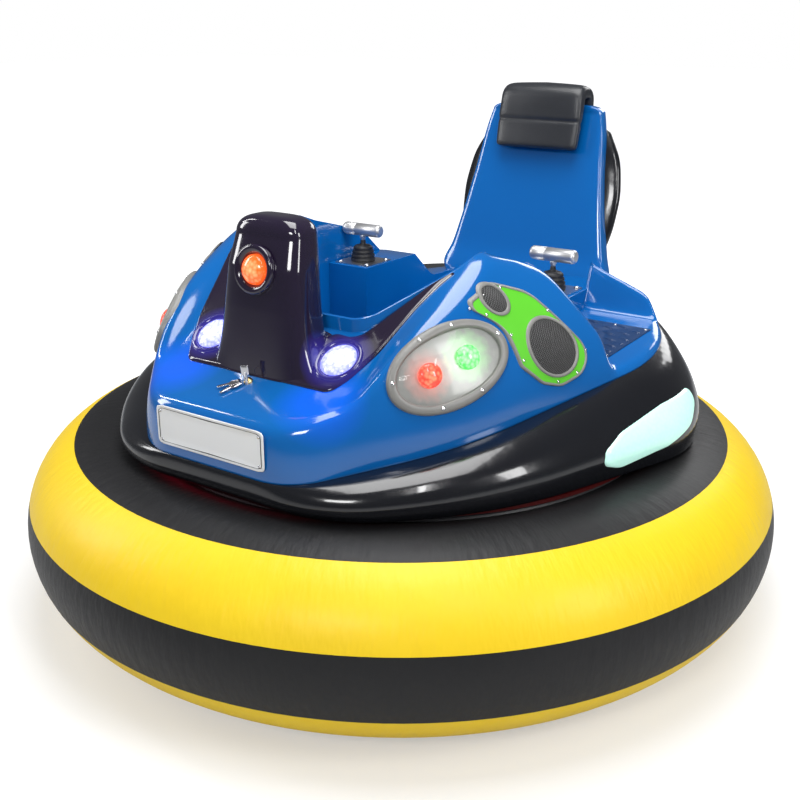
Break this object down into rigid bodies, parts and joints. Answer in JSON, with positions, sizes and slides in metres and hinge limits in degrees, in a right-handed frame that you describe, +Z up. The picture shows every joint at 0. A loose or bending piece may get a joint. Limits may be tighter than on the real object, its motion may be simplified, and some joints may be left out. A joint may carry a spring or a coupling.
{
  "type": "bumper car",
  "caption": "Round inflatable-ringed bumper car with a moulded blue body, high seat back, two tilting control sticks, driven wheels and swivel casters.",
  "frame": {"origin": "on the floor under the middle of the air tube", "axes": "nose points to -Y, +X is the rider's left-hand side, +Z is up"},
  "size_m": [1.95, 1.9498, 1.274],
  "materials": {
    "amber": "clear lens, lit amber",
    "battery": "moulded case",
    "black_shell": "glossy moulded, black",
    "blue_shell": "glossy moulded, deep blue",
    "boot": "matte",
    "brass": "polished",
    "cast": "cast",
    "dark_blue": "satin, dark blue",
    "dark_plastic": "satin moulded",
    "green": "lens, lit green",
    "grip": "satin",
    "mint": "lens, lit mint",
    "painted_steel": "satin paint",
    "panel": "dark green panel with a grey edge",
    "plate": "white paint, blank",
    "red": "lens, lit red",
    "seat_pad": "soft coated pad",
    "smoke": "clear cover",
    "steel": "brushed",
    "tube_fabric": "matte coated fabric",
    "tyre": "solid rubber tread",
    "vinyl_black": "satin coated fabric",
    "vinyl_yellow": "satin coated fabric, bright yellow",
    "warm": "clear lens, lit warm white"
  },
  "bodies": {
    "chassis": {"air_tube": "tube_fabric", "battery_block": "battery", "body_shell": "blue_shell", "boot_left": "boot", "boot_right": "boot", "caster_mounts": "steel", "chassis_plate": "painted_steel", "chassis_rails": "painted_steel", "cockpit_tub": "dark_plastic", "cover_black": "vinyl_black", "cover_yellow": "vinyl_yellow", "gear_motors": "cast", "glow_strip": "red", "green_lamps": "green", "head_lamps": "warm", "headrest": "seat_pad", "hood": "dark_plastic", "hood_arms": "dark_plastic", "hood_lamp": "amber", "hull_channel": "dark_plastic", "key_switch": "brass", "lens_bezels": "dark_plastic", "lens_covers": "smoke", "number_plate": "plate", "red_lamps": "red", "seat_back": "blue_shell", "seat_back_cover": "black_shell", "seat_moulding": "blue_shell", "skirt_lamps": "mint", "skirt_shell": "black_shell", "speaker_grilles": "dark_plastic", "speaker_panels": "panel", "step_tread": "dark_blue", "stick_plates": "dark_plastic"},
    "wheel_left": {"tyre_left": "tyre", "hub_left": "steel"},
    "wheel_right": {"tyre_right": "tyre", "hub_right": "steel"},
    "caster_front": {"fork_front": "steel"},
    "caster_front_wheel": {"caster_wheel_front": "tyre"},
    "caster_rear": {"fork_rear": "steel"},
    "caster_rear_wheel": {"caster_wheel_rear": "tyre"},
    "stick_left": {"lever_left": "grip"},
    "stick_right": {"lever_right": "grip"}
  },
  "joints": [
    {"name": "wheel_left_spin", "type": "hinge", "parent": "chassis", "child": "wheel_left", "pos_m": [0.39, 0.06, 0.1], "axis": [1, 0, 0], "continuous": true},
    {"name": "wheel_right_spin", "type": "hinge", "parent": "chassis", "child": "wheel_right", "pos_m": [-0.39, 0.06, 0.1], "axis": [1, 0, 0], "continuous": true},
    {"name": "caster_front_swivel", "type": "hinge", "parent": "chassis", "child": "caster_front", "pos_m": [0, -0.43, 0.12], "axis": [0, 0, 1], "continuous": true},
    {"name": "caster_front_roll", "type": "hinge", "parent": "caster_front", "child": "caster_front_wheel", "pos_m": [0, -0.39, 0.0625], "axis": [1, 0, 0], "continuous": true},
    {"name": "caster_rear_swivel", "type": "hinge", "parent": "chassis", "child": "caster_rear", "pos_m": [0, 0.43, 0.12], "axis": [0, 0, 1], "continuous": true},
    {"name": "caster_rear_roll", "type": "hinge", "parent": "caster_rear", "child": "caster_rear_wheel", "pos_m": [0, 0.47, 0.0625], "axis": [1, 0, 0], "continuous": true},
    {"name": "stick_left_tilt", "type": "hinge", "parent": "chassis", "child": "stick_left", "pos_m": [0.307, 0.249, 0.794], "axis": [1, 0, 0], "range_deg": [-16, 16], "stiffness_Nm_per_rad": 3, "deforming": ["boot_left"]},
    {"name": "stick_right_tilt", "type": "hinge", "parent": "chassis", "child": "stick_right", "pos_m": [-0.307, 0.249, 0.794], "axis": [1, 0, 0], "range_deg": [-16, 16], "stiffness_Nm_per_rad": 3, "deforming": ["boot_right"]}
  ]
}
